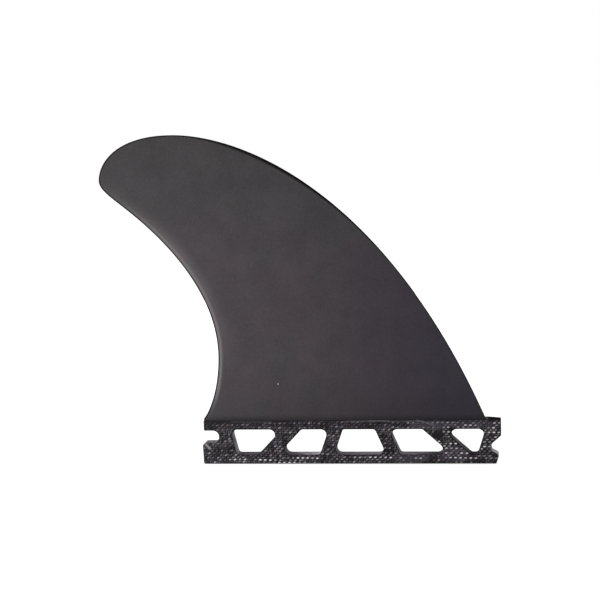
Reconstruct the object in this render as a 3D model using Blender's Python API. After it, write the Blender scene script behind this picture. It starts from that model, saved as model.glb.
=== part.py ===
"""Right-hand side fin of a three-fin surfboard, moulded in one piece with its box tab.

Metres, +Z up the blade, +X towards the leading edge, +Y towards the foiled outer face.
The origin is the middle of the tab's foot.
"""

import math

import bmesh
import bpy
import numpy as np

# Tab, the plate that fills the fin box
TAB_LENGTH = 0.1143
TAB_HEIGHT = 0.0170
TAB_THICKNESS = 0.0068
LEDGE_LENGTH = 0.0058
LEDGE_FALL = 0.0004
TAB_CORNER = 0.0005
LIP_REACH = 0.0006
TAB_EDGE_BREAK = 0.00025

# Windows through the tab, between slanting ribs
FOOT_RAIL = 0.00345
HEAD_RAIL = 0.00365
WINDOW_WIDE_CORNER = 0.0013
WINDOW_NARROW_CORNER = 0.0021
AFT_POST_HEAD = 0.0103
AFT_POST_FOOT = 0.0128
FORE_POST_HEAD = 0.0057
FORE_POST_FOOT = 0.0088
OUTER_RIB_WIDTH = 0.0075
INNER_RIB_WIDTH = 0.0053
# The ribs from aft to fore: where each one's middle meets the head rail and the foot rail, as shares
# of the way from the aft post to the fore post, and each one's width along X
RIB_HEAD_SHARES = (0.244, 0.416, 0.597, 0.793)
RIB_FOOT_SHARES = (0.130, 0.376, 0.653, 0.934)
RIB_WIDTHS = (OUTER_RIB_WIDTH, INNER_RIB_WIDTH, INNER_RIB_WIDTH, OUTER_RIB_WIDTH)

# Rear notch, which hooks under the box's cross pin
PIN_NOTCH_HEIGHT = 0.0049
PIN_NOTCH_DEPTH = 0.0059
PIN_NOTCH_CENTRE_Z = 0.01055
PIN_LIP_ROUND = 0.0012
PIN_NOTCH_MOUTH_ROUND = 0.0005

# Front hollow, where the box's set screw bears on the foot lobe
HOLLOW_TOP_Z = 0.0108
HOLLOW_DEPTH = 0.0037
HOLLOW_ROOF_Z = 0.0075
HOLLOW_FLOOR_Z = 0.0049
HOLLOW_MOUTH_ROUND = 0.0009
HOLLOW_ROOF_ROUND = 0.0003
HOLLOW_FLOOR_ROUND = 0.0012
LOBE_SETBACK = 0.0008
LOBE_TOP_Z = 0.0033
LOBE_FOOT_SETBACK = 0.0019
LOBE_ROUND = 0.0009

# Blade outline, measured along the canted blade from the top of the tab
BLADE_SPAN = 0.1108
CANT_ANGLE = math.radians(6.5)
LEAD_LEAN = math.radians(23.3)
LEAD_HANDLE = 0.0975
CREST_AFT = 0.0125
CREST_HANDLE_FORE = 0.0261
CREST_HANDLE_AFT = 0.0205
TIP_OVERHANG = 0.0403
TIP_HEIGHT = 0.0937
TIP_HANDLE_UP = 0.0073
TIP_HANDLE_DOWN = 0.0037
HOOK_OVERHANG = 0.0279
HOOK_HEIGHT = 0.0809
HOOK_LEAN = math.radians(50.8)
HOOK_HANDLE_UP = 0.0101
HOOK_HANDLE_DOWN = 0.0197
WAIST_INSET = 0.0063
WAIST_HEIGHT = 0.0241
WAIST_HANDLE_UP = 0.0241
WAIST_HANDLE_DOWN = 0.0078
TRAIL_SETBACK = 0.0001
TRAIL_FOOT = 0.0007
TRAIL_LEAN = math.radians(40.8)
TRAIL_HANDLE = 0.0070

# Blade section, flat inside and foiled outside
ROOT_SHOULDER = 0.0003
ROOT_COVE = 0.0016
LEAD_COVE = 0.0012
ROOT_DEPTH = 0.0020
TIP_THICKNESS = 0.0030
TIP_ROUNDING = 0.0120
NOSE_LIFT = 0.0008
NOSE_LENGTH = 0.0012
TRAIL_EDGE = 0.0005
TRAIL_EDGE_AT_CREST = 0.00015
TRAIL_LIFT = 0.0005
TRAIL_BEVEL = 0.0080
CREST_FLAT = 0.000025

# The part of a side that one rounded corner may take up
CORNER_SHARE = 0.49

# Facets
CORNER_STEPS = 6
CURVE_STEPS = 160
SPAN_STATIONS = 34
ROOT_STATION_SHARES = (0.0, 0.1, 0.25, 0.5, 1.0)
CHORD_STEPS = 26

# Values that follow from the sizes above
AFT_END = -TAB_LENGTH / 2
FORE_END = TAB_LENGTH / 2
INNER_SIDE = -TAB_THICKNESS / 2
OUTER_SIDE = TAB_THICKNESS / 2
WINDOW_FOOT = FOOT_RAIL
WINDOW_HEAD = TAB_HEIGHT - HEAD_RAIL
LEAD_BASE_X = FORE_END - LEDGE_LENGTH
TRAIL_BASE_X = AFT_END + TRAIL_SETBACK
CREST_X = AFT_END - CREST_AFT
ROOT_THICKNESS = TAB_THICKNESS - 2 * ROOT_SHOULDER
# The root's cove ends short of the tab's sides, and its first section lies just above the tab
COVE_FLARE = 0.75 * ROOT_SHOULDER
ROOT_START = 0.05 * LEAD_COVE

LAMINATE_COLOUR = (0.058, 0.056, 0.060, 1.0)
LAMINATE_ROUGHNESS = 0.55


def clear_scene():
    """Remove what the scene holds, so that the model stands alone."""
    for item in list(bpy.data.objects):
        bpy.data.objects.remove(item)


def laminate_material():
    """Return the dark glass laminate of the whole fin."""
    material = bpy.data.materials.new("dark_laminate")
    material.use_nodes = True
    shader = material.node_tree.nodes["Principled BSDF"]
    shader.inputs["Base Color"].default_value = LAMINATE_COLOUR
    shader.inputs["Roughness"].default_value = LAMINATE_ROUGHNESS
    shader.inputs["Metallic"].default_value = 0.0
    material.diffuse_color = LAMINATE_COLOUR
    return material


def link_object(name, mesh_builder):
    """Turn a bmesh into a linked object with its faces pointing out."""
    bmesh.ops.recalc_face_normals(mesh_builder, faces=mesh_builder.faces)
    mesh = bpy.data.meshes.new(name)
    mesh_builder.to_mesh(mesh)
    mesh_builder.free()
    item = bpy.data.objects.new(name, mesh)
    bpy.context.scene.collection.objects.link(item)
    return item


def rounded_outline(corners):
    """Return the points of a closed outline whose corners (x, z, radius) are rounded by arcs."""
    points = []
    count = len(corners)
    for index, (x, z, radius) in enumerate(corners):
        if radius <= 0.0:
            points.append((x, z))
            continue
        here = np.array((x, z))
        before = np.array(corners[index - 1][:2]) - here
        after = np.array(corners[(index + 1) % count][:2]) - here
        before_unit = before / np.linalg.norm(before)
        after_unit = after / np.linalg.norm(after)
        half_angle = 0.5 * math.acos(float(np.clip(before_unit @ after_unit, -1.0, 1.0)))
        # A corner takes at most its share of the shorter side, so that neighbours never cross
        room = CORNER_SHARE * min(np.linalg.norm(before), np.linalg.norm(after))
        run = min(radius / math.tan(half_angle), room)
        radius = run * math.tan(half_angle)
        bisector = before_unit + after_unit
        centre = here + bisector / np.linalg.norm(bisector) * radius / math.sin(half_angle)
        start = here + before_unit * run - centre
        end = here + after_unit * run - centre
        start_angle = math.atan2(start[1], start[0])
        sweep = math.atan2(end[1], end[0]) - start_angle
        sweep = (sweep + math.pi) % (2 * math.pi) - math.pi
        for step in range(CORNER_STEPS + 1):
            angle = start_angle + sweep * step / CORNER_STEPS
            points.append((centre[0] + radius * math.cos(angle), centre[1] + radius * math.sin(angle)))
    return points


def plate(name, outline, y_low, y_high):
    """Extrude a closed outline in the XZ plane from y_low to y_high."""
    builder = bmesh.new()
    ring = [builder.verts.new((x, y_low, z)) for x, z in outline]
    face = builder.faces.new(ring)
    grown = bmesh.ops.extrude_face_region(builder, geom=[face])
    moved = [part for part in grown["geom"] if isinstance(part, bmesh.types.BMVert)]
    bmesh.ops.translate(builder, verts=moved, vec=(0.0, y_high - y_low, 0.0))
    return link_object(name, builder)


def tab_outline():
    """Return the tab's side outline with the pin notch, the screw hollow and the ledge."""
    notch_half = PIN_NOTCH_HEIGHT / 2
    notch_roof = PIN_NOTCH_CENTRE_Z + notch_half
    notch_floor = PIN_NOTCH_CENTRE_Z - notch_half
    notch_end = AFT_END + PIN_NOTCH_DEPTH
    ledge_start = LEAD_BASE_X + LEAD_COVE
    hollow_wall = FORE_END - HOLLOW_DEPTH
    return rounded_outline((
        (AFT_END - LIP_REACH / 2, 0.0, TAB_CORNER),
        (FORE_END - LOBE_FOOT_SETBACK, 0.0, LOBE_ROUND / 2),
        (FORE_END - LOBE_SETBACK, LOBE_TOP_Z, LOBE_ROUND),
        (hollow_wall, HOLLOW_FLOOR_Z, HOLLOW_FLOOR_ROUND),
        (hollow_wall, HOLLOW_ROOF_Z, HOLLOW_ROOF_ROUND),
        (FORE_END, HOLLOW_TOP_Z, HOLLOW_MOUTH_ROUND),
        (FORE_END, TAB_HEIGHT - LEDGE_FALL, TAB_CORNER),
        (ledge_start, TAB_HEIGHT, 0.0),
        (AFT_END, TAB_HEIGHT, 0.0),
        (AFT_END, notch_roof, PIN_NOTCH_MOUTH_ROUND),
        (notch_end, notch_roof, notch_half),
        (notch_end, notch_floor, notch_half),
        (AFT_END - LIP_REACH, notch_floor, PIN_LIP_ROUND),
    ))


def window_outlines():
    """Return the outline of each window between the posts and the ribs."""
    aft_post = (AFT_END + AFT_POST_HEAD, AFT_END + AFT_POST_FOOT)
    fore_post = (FORE_END - FORE_POST_HEAD, FORE_END - FORE_POST_FOOT)
    walls = [aft_post]
    for head_share, foot_share, width in zip(RIB_HEAD_SHARES, RIB_FOOT_SHARES, RIB_WIDTHS):
        head_x = aft_post[0] + (fore_post[0] - aft_post[0]) * head_share
        foot_x = aft_post[1] + (fore_post[1] - aft_post[1]) * foot_share
        walls.append((head_x - width / 2, foot_x - width / 2))
        walls.append((head_x + width / 2, foot_x + width / 2))
    walls.append(fore_post)
    outlines = []
    for aft, fore in zip(walls[0::2], walls[1::2]):
        corners = window_corners(aft, fore)
        outlines.append(rounded_outline(corners))
    return outlines


def window_corners(aft, fore):
    """Return the corners of one window from its aft and fore walls, each (head x, foot x)."""
    aft_leans_fore = aft[0] > aft[1]
    fore_leans_fore = fore[0] > fore[1]
    aft_rounds = window_rounds(aft_leans_fore)
    fore_rounds = window_rounds(not fore_leans_fore)
    return (
        (aft[1], WINDOW_FOOT, aft_rounds[0]),
        (fore[1], WINDOW_FOOT, fore_rounds[0]),
        (fore[0], WINDOW_HEAD, fore_rounds[1]),
        (aft[0], WINDOW_HEAD, aft_rounds[1]),
    )


def window_rounds(foot_is_narrow):
    """Return one wall's foot and head corner radii: the narrow corner takes the larger one."""
    if foot_is_narrow:
        return WINDOW_NARROW_CORNER, WINDOW_WIDE_CORNER
    return WINDOW_WIDE_CORNER, WINDOW_NARROW_CORNER


def cubic(start, start_handle, end_handle, end):
    """Return points along one cubic curve in the blade's plane."""
    t = np.linspace(0.0, 1.0, CURVE_STEPS)[:, None]
    return ((1 - t) ** 3 * np.array(start) + 3 * (1 - t) ** 2 * t * np.array(start_handle)
            + 3 * (1 - t) * t ** 2 * np.array(end_handle) + t ** 3 * np.array(end))


def leading_edge():
    """Return the leading edge's points (x, span), from the tab to the crest."""
    start = (LEAD_BASE_X, 0.0)
    start_handle = (LEAD_BASE_X - LEAD_HANDLE * math.sin(LEAD_LEAN), LEAD_HANDLE * math.cos(LEAD_LEAN))
    return cubic(start, start_handle, (CREST_X + CREST_HANDLE_FORE, BLADE_SPAN), (CREST_X, BLADE_SPAN))


def trailing_edge():
    """Return the trailing edge's points (x, span), from the tab round the tip to the crest."""
    base = (TRAIL_BASE_X, TRAIL_FOOT)
    base_handle = (TRAIL_BASE_X + TRAIL_HANDLE * math.sin(TRAIL_LEAN),
                   TRAIL_FOOT + TRAIL_HANDLE * math.cos(TRAIL_LEAN))
    waist_x = AFT_END + WAIST_INSET
    waist = (waist_x, WAIST_HEIGHT)
    hook_x = AFT_END - HOOK_OVERHANG
    hook = (hook_x, HOOK_HEIGHT)
    hook_run = math.sin(HOOK_LEAN)
    hook_rise = math.cos(HOOK_LEAN)
    hook_below = (hook_x + HOOK_HANDLE_DOWN * hook_run, HOOK_HEIGHT - HOOK_HANDLE_DOWN * hook_rise)
    hook_above = (hook_x - HOOK_HANDLE_UP * hook_run, HOOK_HEIGHT + HOOK_HANDLE_UP * hook_rise)
    tip_x = AFT_END - TIP_OVERHANG
    tip = (tip_x, TIP_HEIGHT)
    curves = (
        cubic(base, base_handle, (waist_x, WAIST_HEIGHT - WAIST_HANDLE_DOWN), waist),
        cubic(waist, (waist_x, WAIST_HEIGHT + WAIST_HANDLE_UP), hook_below, hook),
        cubic(hook, hook_above, (tip_x, TIP_HEIGHT - TIP_HANDLE_DOWN), tip),
        cubic(tip, (tip_x, TIP_HEIGHT + TIP_HANDLE_UP), (CREST_X - CREST_HANDLE_AFT, BLADE_SPAN),
              (CREST_X, BLADE_SPAN)),
    )
    return np.concatenate(curves)


def foil_thickness(fraction):
    """Return the foil's fullness, 1 at its thickest, at a fraction of the chord from the nose."""
    series = (0.2969 * math.sqrt(fraction) - 0.1260 * fraction - 0.3516 * fraction ** 2
              + 0.2843 * fraction ** 3 - 0.1036 * fraction ** 4)
    return 10.0 * series


def tip_closing(span):
    """Return how far the section has closed towards the crest, 1 below the rounded tip."""
    above = max(0.0, span - (BLADE_SPAN - TIP_ROUNDING)) / TIP_ROUNDING
    return math.sqrt(max(0.0, 1.0 - above ** 2))


def cove(span, rise, reach):
    """Return how far a root cove, rise high and reach wide, stands out at a height above the tab."""
    below = max(0.0, 1.0 - span / rise)
    return reach * (1.0 - math.sqrt(1.0 - below ** 2))


def section_loop(span, edge_lines):
    """Return one closed, level section of the blade as points (x, y, z)."""
    lead_line, trail_line = edge_lines
    lead_x = float(np.interp(span, lead_line[:, 1], lead_line[:, 0]))
    lead_x += cove(span, LEAD_COVE, LEAD_COVE)
    trail_x = float(np.interp(span, trail_line[:, 1], trail_line[:, 0]))
    chord = lead_x - trail_x
    closing = tip_closing(span)
    taper = 1.0 - span / BLADE_SPAN
    thickness = (TIP_THICKNESS + (ROOT_THICKNESS - TIP_THICKNESS) * taper) * closing
    scale = thickness / ROOT_THICKNESS
    lift = NOSE_LIFT * scale
    tail_lift = TRAIL_LIFT * scale
    tail_edge = TRAIL_EDGE_AT_CREST + (TRAIL_EDGE - TRAIL_EDGE_AT_CREST) * closing
    flare = cove(span, ROOT_COVE, COVE_FLARE)
    inner_plane = INNER_SIDE + ROOT_SHOULDER + span * math.sin(CANT_ANGLE) + TRAIL_LIFT * (1.0 - closing)
    height = TAB_HEIGHT + span * math.cos(CANT_ANGLE)
    inner = []
    outer = []
    for step in range(CHORD_STEPS + 1):
        fraction = 0.5 * (1.0 - math.cos(math.pi * step / CHORD_STEPS))
        x = lead_x - chord * fraction
        from_nose = min(1.0, chord * fraction / NOSE_LENGTH)
        from_tail = min(1.0, chord * (1.0 - fraction) / TRAIL_BEVEL)
        rise = lift * (1.0 - math.sqrt(1.0 - (1.0 - from_nose) ** 2))
        rise += tail_lift * (1.0 - from_tail) ** 2
        base_line = lift + (tail_lift + tail_edge - lift) * fraction
        crown = base_line + (thickness - base_line) * foil_thickness(fraction)
        inner.append((x, inner_plane + rise - flare, height))
        outer.append((x, inner_plane + max(crown, rise) + flare, height))
    # The two faces share one point at the nose, and the tail keeps its small square edge
    return outer + inner[:0:-1]


def build_blade():
    """Loft the foiled, canted blade through level sections from inside the tab to the crest."""
    edge_lines = (leading_edge(), trailing_edge())
    spans = [ROOT_START + (ROOT_COVE - ROOT_START) * share for share in ROOT_STATION_SHARES]
    for step in range(1, SPAN_STATIONS):
        spans.append(ROOT_COVE + (BLADE_SPAN - ROOT_COVE) * math.sin(math.pi / 2 * step / SPAN_STATIONS))
    spans.append(BLADE_SPAN - CREST_FLAT)
    builder = bmesh.new()
    root = section_loop(ROOT_START, edge_lines)
    loops = [[builder.verts.new((x, y, TAB_HEIGHT - ROOT_DEPTH)) for x, y, _ in root]]
    for span in spans:
        loops.append([builder.verts.new(point) for point in section_loop(span, edge_lines)])
    for lower, upper in zip(loops, loops[1:]):
        for index in range(len(lower)):
            following = (index + 1) % len(lower)
            builder.faces.new((lower[index], lower[following], upper[following], upper[index]))
    builder.faces.new(loops[0])
    builder.faces.new(loops[-1])
    return link_object("blade_form", builder)


def hide_tool(item):
    """Keep a shape that only cuts or joins out of the finished part."""
    item.hide_render = True
    item.display_type = "WIRE"


def add_boolean(target, tool, operation):
    """Add a live Boolean modifier that joins or cuts the target with the tool."""
    modifier = target.modifiers.new(f"{operation.lower()}_{tool.name}", "BOOLEAN")
    modifier.operation = operation
    modifier.object = tool
    modifier.solver = "EXACT"
    hide_tool(tool)


def build_fin():
    """Model the fin as one solid: tab, blade and windows."""
    fin = plate("fin", tab_outline(), INNER_SIDE, OUTER_SIDE)
    edge_break = fin.modifiers.new("edge_break", "BEVEL")
    edge_break.width = TAB_EDGE_BREAK
    edge_break.segments = 1
    edge_break.limit_method = "ANGLE"
    edge_break.angle_limit = math.radians(60.0)
    add_boolean(fin, build_blade(), "UNION")
    for number, outline in enumerate(window_outlines(), start=1):
        cutter = plate(f"window_{number}", outline, 2 * INNER_SIDE, 2 * OUTER_SIDE)
        add_boolean(fin, cutter, "DIFFERENCE")
    fin.data.materials.append(laminate_material())
    fin.data.shade_smooth()
    fin.data.set_sharp_from_angle(angle=math.radians(30.0))
    return fin


def main():
    """Build the part."""
    clear_scene()
    build_fin()


main()
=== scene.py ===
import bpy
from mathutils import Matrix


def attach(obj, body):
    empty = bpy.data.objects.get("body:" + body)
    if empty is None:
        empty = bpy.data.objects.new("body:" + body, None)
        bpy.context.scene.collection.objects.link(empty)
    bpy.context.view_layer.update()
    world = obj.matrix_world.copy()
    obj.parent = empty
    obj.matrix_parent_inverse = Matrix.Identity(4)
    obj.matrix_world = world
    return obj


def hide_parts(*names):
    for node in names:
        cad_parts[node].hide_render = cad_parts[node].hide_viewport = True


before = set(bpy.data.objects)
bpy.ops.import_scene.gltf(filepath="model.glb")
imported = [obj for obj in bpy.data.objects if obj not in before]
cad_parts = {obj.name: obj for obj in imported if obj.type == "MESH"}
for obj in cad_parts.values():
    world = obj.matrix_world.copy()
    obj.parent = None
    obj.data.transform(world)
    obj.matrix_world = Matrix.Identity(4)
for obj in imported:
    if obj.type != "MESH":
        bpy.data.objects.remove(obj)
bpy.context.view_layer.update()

"""Looks of the surfboard fin: a satin moulded blade over a milled, woven glass tab.

Metres, +Z up the blade, +X towards the leading edge, +Y towards the foiled outer face.
"""

import logging
import math
from dataclasses import dataclass
from enum import Enum
from typing import Dict, Optional, Sequence, Tuple, Union

import bmesh
import bpy
import numpy as np
from mathutils import Matrix, Vector
from mathutils.kdtree import KDTree

Point = Tuple[float, float]
Triple = Tuple[float, float, float]
Colour = Triple
Socket = bpy.types.NodeSocket
Sockets = bpy.types.NodeOutputs
Material = bpy.types.Material
Piece = bpy.types.Object
Array = np.ndarray

MM = 0.001
CURVE_POINTS = 1200
PATCH_EDGE = (0.75, 1.15)
SCRATCH_EDGE = (0.6, 1.3)
LOG = logging.getLogger("surfboard_fin")


class WallKind(Enum):
    """Which finish a face of the tab takes, as its place in the tab's material slots."""

    WOVEN = 0
    CUT = 1
    MOULDED = 2


class Graph:
    """A node tree, with short ways to add nodes and join them."""

    def __init__(self, tree: bpy.types.NodeTree) -> None:
        """Take the tree that the nodes go into."""
        self.tree = tree

    def add(self, kind: str, feeds: Optional[Dict[Union[str, int], object]] = None,
            **settings: object) -> bpy.types.Node:
        """Add a node.

        Args:
            kind: the node's type name.
            feeds: values or sockets for its inputs, by name or number.
            settings: properties set on the node itself.

        Returns:
            The new node.
        """
        node = self.tree.nodes.new(kind)
        for key, value in settings.items():
            setattr(node, key, value)
        for key, value in (feeds or {}).items():
            self.feed(node.inputs[key], value)
        return node

    def feed(self, socket: Socket, value: object) -> None:
        """Join a socket to an input, or set the input's own value.

        Args:
            socket: the input.
            value: a socket, a number, or a colour of three numbers.
        """
        if isinstance(value, bpy.types.NodeSocket):
            self.tree.links.new(value, socket)
        elif isinstance(value, tuple) and socket.type == "RGBA":
            socket.default_value = (*value, 1.0)
        else:
            socket.default_value = value

    def shade(self, looks: Dict[str, object]) -> None:
        """Feed the material's Principled shader, each input by its name."""
        for name, value in looks.items():
            self.feed(self.tree.nodes["Principled BSDF"].inputs[name], value)

    def math(self, operation: str, *values: object, clamp: bool = False) -> Socket:
        """Return what a Math node makes of its values, kept from 0 to 1 where clamp is set."""
        feeds = dict(enumerate(values))
        return self.add("ShaderNodeMath", feeds, operation=operation, use_clamp=clamp).outputs[0]

    def times(self, first: object, second: object) -> Socket:
        """Return the product of two values."""
        return self.math("MULTIPLY", first, second)

    def fit(self, value: Socket, low: float, high: float,
            to_low: float = 0.0, to_high: float = 1.0) -> Socket:
        """Return a value carried smoothly over from one range to another, and held at its ends."""
        feeds = {"Value": value, "From Min": low, "From Max": high, "To Min": to_low, "To Max": to_high}
        return self.add("ShaderNodeMapRange", feeds, interpolation_type="SMOOTHSTEP").outputs["Result"]

    def blend(self, share: object, first: object, second: object) -> Socket:
        """Return a mix of two colours, of which the second has the given share."""
        return self.add("ShaderNodeMix", {0: share, 6: first, 7: second}, data_type="RGBA").outputs[2]

    def scaled(self, colour: Socket, factor: Socket) -> Socket:
        """Return a colour made darker or lighter by a factor."""
        feeds = {0: colour, "Scale": factor}
        return self.add("ShaderNodeVectorMath", feeds, operation="SCALE").outputs[0]

    def place(self) -> Socket:
        """Return the Object coordinates."""
        return self.add("ShaderNodeTexCoord").outputs["Object"]

    def attribute(self, name: str, output: str = "Fac") -> Socket:
        """Return one of the piece's own attributes, as a number or as the output named Vector."""
        return self.add("ShaderNodeAttribute", attribute_name=name).outputs[output]

    def axes(self, vector: Socket) -> Sockets:
        """Return a vector's parts, by the names X, Y and Z."""
        return self.add("ShaderNodeSeparateXYZ", {0: vector}).outputs

    def noise(self, place: Socket, scale: object, detail: float = 2.0, roughness: float = 0.5) -> Socket:
        """Return a noise pattern, about 0.5 in the mean, whose scale is its features to a metre."""
        feeds = {"Vector": place, "Scale": scale, "Detail": detail, "Roughness": roughness}
        return self.add("ShaderNodeTexNoise", feeds).outputs["Fac"]

    def bump(self, height: Socket, distance: float, strength: float) -> Socket:
        """Return the normals of a relief that is a distance deep."""
        feeds = {"Height": height, "Distance": distance, "Strength": strength}
        return self.add("ShaderNodeBump", feeds).outputs["Normal"]

    def seen_directly(self) -> Socket:
        """Tell the light that reaches the eye from the light that falls on other surfaces.

        Returns:
            A mask, 1 for the camera's own rays and for those by way of gloss or glass.
        """
        path = self.add("ShaderNodeLightPath").outputs
        seen = self.math("MAXIMUM", path["Is Camera Ray"], path["Is Glossy Ray"])
        return self.math("MAXIMUM", seen, path["Is Transmission Ray"])


@dataclass(frozen=True)
class SurfaceGrain:
    """Fine unevenness that every finish of the fin shares: clouds of tone, specks and a soft relief."""

    name: str = "surface_grain"
    hue_shift: Triple = (0.31, 0.17, 0.23)
    hue_range: Point = (0.35, 0.65)
    cloud_relief: float = 0.35
    speck_relief: float = 0.65

    def build(self) -> bpy.types.NodeTree:
        """Make the node group, or find it where it is made already.

        Returns:
            The node group.
        """
        known = bpy.data.node_groups.get(self.name)
        if known is not None:
            return known
        tree = bpy.data.node_groups.new(self.name, "ShaderNodeTree")
        for side, kind, labels in (("INPUT", "Vector", ("Place",)),
                                   ("INPUT", "Float", ("Cloud Scale", "Speck Scale", "Cloud Share")),
                                   ("OUTPUT", "Float", ("Tone", "Hue", "Height"))):
            for label in labels:
                tree.interface.new_socket(label, in_out=side, socket_type=f"NodeSocket{kind}")
        graph = Graph(tree)
        given = graph.add("NodeGroupInput").outputs
        made = graph.add("NodeGroupOutput").inputs
        cloud = graph.noise(given["Place"], given["Cloud Scale"], detail=3.0, roughness=0.55)
        speck = graph.noise(given["Place"], given["Speck Scale"], detail=2.0, roughness=0.6)
        shift = graph.add("ShaderNodeVectorMath", {0: given["Place"], 1: self.hue_shift}, operation="ADD")
        hue = graph.noise(shift.outputs[0], given["Cloud Scale"], detail=4.0, roughness=0.7)
        speck_share = graph.math("SUBTRACT", 1.0, given["Cloud Share"])
        graph.feed(made["Tone"], graph.math("ADD", graph.times(cloud, given["Cloud Share"]),
                                            graph.times(speck, speck_share)))
        graph.feed(made["Hue"], graph.fit(hue, *self.hue_range))
        graph.feed(made["Height"], graph.math("ADD", graph.times(cloud, self.cloud_relief),
                                              graph.times(speck, self.speck_relief)))
        return tree

    def place_in(self, graph: Graph, clouds: float, specks: float, cloud_share: float) -> Sockets:
        """Return the group's outputs in a material, with its clouds and its specks to a metre."""
        feeds = {"Place": graph.place(), "Cloud Scale": clouds, "Speck Scale": specks,
                 "Cloud Share": cloud_share}
        return graph.add("ShaderNodeGroup", feeds, node_tree=self.build()).outputs


def new_finish(name: str) -> Tuple[Material, Graph]:
    """Make a material with its Principled shader.

    Args:
        name: the material's name.

    Returns:
        The material and its graph.
    """
    material = bpy.data.materials.new(name)
    material.use_nodes = True
    return material, Graph(material.node_tree)


@dataclass(frozen=True)
class MouldedCoat:
    """The satin charcoal skin that the mould leaves on the blade.

    It reads two attributes: the distance from the blade's outline in widths of its dark line, which is
    painted shade of the rounded edges, and the share of painted highlight along the trailing edge.
    """

    name: str = "moulded_coat"
    warm: Colour = (0.0731, 0.0598, 0.0680)
    cool: Colour = (0.0673, 0.0606, 0.0669)
    # A plum tint, darkened as painted shade where the key lamp's light falls off towards the leading edge.
    fore: Colour = (0.0478, 0.0400, 0.0540)
    tip: Colour = (0.0607, 0.0574, 0.0597)
    # Painted highlight: the lighter colour of the band along the trailing edge, where its bevel turns
    # towards the lamp.
    sanded: Colour = (0.185, 0.165, 0.167)
    pale_dust: Colour = (0.40, 0.38, 0.38)
    # Painted shade: the near-black line along the blade's rounded edges.
    edge_line: Colour = (0.002, 0.002, 0.002)
    fore_rise: Point = (-30.0 * MM, 50.0 * MM)
    tip_rise: Point = (70.0 * MM, 118.0 * MM)
    # Painted shade: the root cove, and the moulded top of the tab, darkened in the colour.
    root_rise: Point = (17.0 * MM, 19.2 * MM)
    root_tone: float = 0.55
    low_rise: Point = (17.0 * MM, 38.0 * MM)
    low_tone: float = 0.82
    pinhole: Triple = (-27.91 * MM, -1.55 * MM, 30.83 * MM)
    pinhole_rim: Point = (0.40 * MM, 0.20 * MM)
    line_edge: Point = (1.3, 0.25)
    line_dull_at: float = 0.6
    line_dullness: float = 0.55
    cloud_scale: float = 90.0
    speck_scale: float = 1500.0
    cloud_share: float = 0.48
    grain_range: Point = (0.3, 0.7)
    tone_swing: float = 0.15
    roughness: float = 0.42
    roughness_swing: float = 0.03
    specular: float = 0.09
    relief: float = 0.03 * MM
    relief_strength: float = 0.6

    def body(self, graph: Graph, hue: Socket, place: Socket) -> Socket:
        """Colour the skin: plum towards the leading edge and darker there as painted shade, greyer at the
        tip, darker towards the root and darker still in the root cove as painted shade.

        Args:
            graph: the material's graph.
            hue: the drift between the warm and the cool colour.
            place: the Object coordinates.

        Returns:
            The colour's socket.
        """
        axes = graph.axes(place)
        colour = graph.blend(hue, self.warm, self.cool)
        # Painted shade of the lamp's falloff, with a plum tint, towards the leading edge.
        colour = graph.blend(graph.fit(axes["X"], *self.fore_rise), colour, self.fore)
        colour = graph.blend(graph.fit(axes["Z"], *self.tip_rise), colour, self.tip)
        # Painted shade in the root cove.
        root = graph.fit(axes["Z"], *self.root_rise, self.root_tone, 1.0)
        low = graph.fit(axes["Z"], *self.low_rise, self.low_tone, 1.0)
        return graph.scaled(colour, graph.times(root, low))

    def build(self) -> Material:
        """Build the finish.

        Returns:
            Its material.
        """
        material, graph = new_finish(self.name)
        place = graph.place()
        grain = SurfaceGrain().place_in(graph, self.cloud_scale, self.speck_scale, self.cloud_share)
        tone = graph.fit(grain["Tone"], *self.grain_range, 1.0 - self.tone_swing, 1.0 + self.tone_swing)
        colour = graph.scaled(self.body(graph, grain["Hue"], place), tone)
        # Painted highlight along the trailing edge.
        colour = graph.blend(graph.attribute("sanded"), colour, self.sanded)
        away = graph.add("ShaderNodeVectorMath", {0: place, 1: self.pinhole}, operation="DISTANCE")
        pinhole = graph.fit(away.outputs["Value"], *self.pinhole_rim)
        colour = graph.blend(pinhole, colour, self.pale_dust)
        # Painted shade: a dark line along the blade's rounded edges, where they turn away from the light.
        line = graph.fit(graph.attribute("seam"), *self.line_edge)
        rough = graph.fit(grain["Tone"], *self.grain_range,
                          self.roughness - self.roughness_swing, self.roughness + self.roughness_swing)
        dull = graph.fit(line, 0.0, self.line_dull_at, 0.0, self.line_dullness)
        graph.shade({
            "Base Color": graph.blend(line, colour, self.edge_line),
            "Roughness": graph.math("ADD", rough, dull, clamp=True),
            "Specular IOR Level": self.specular,
            "Normal": graph.bump(grain["Height"], self.relief, self.relief_strength),
        })
        return material


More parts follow.
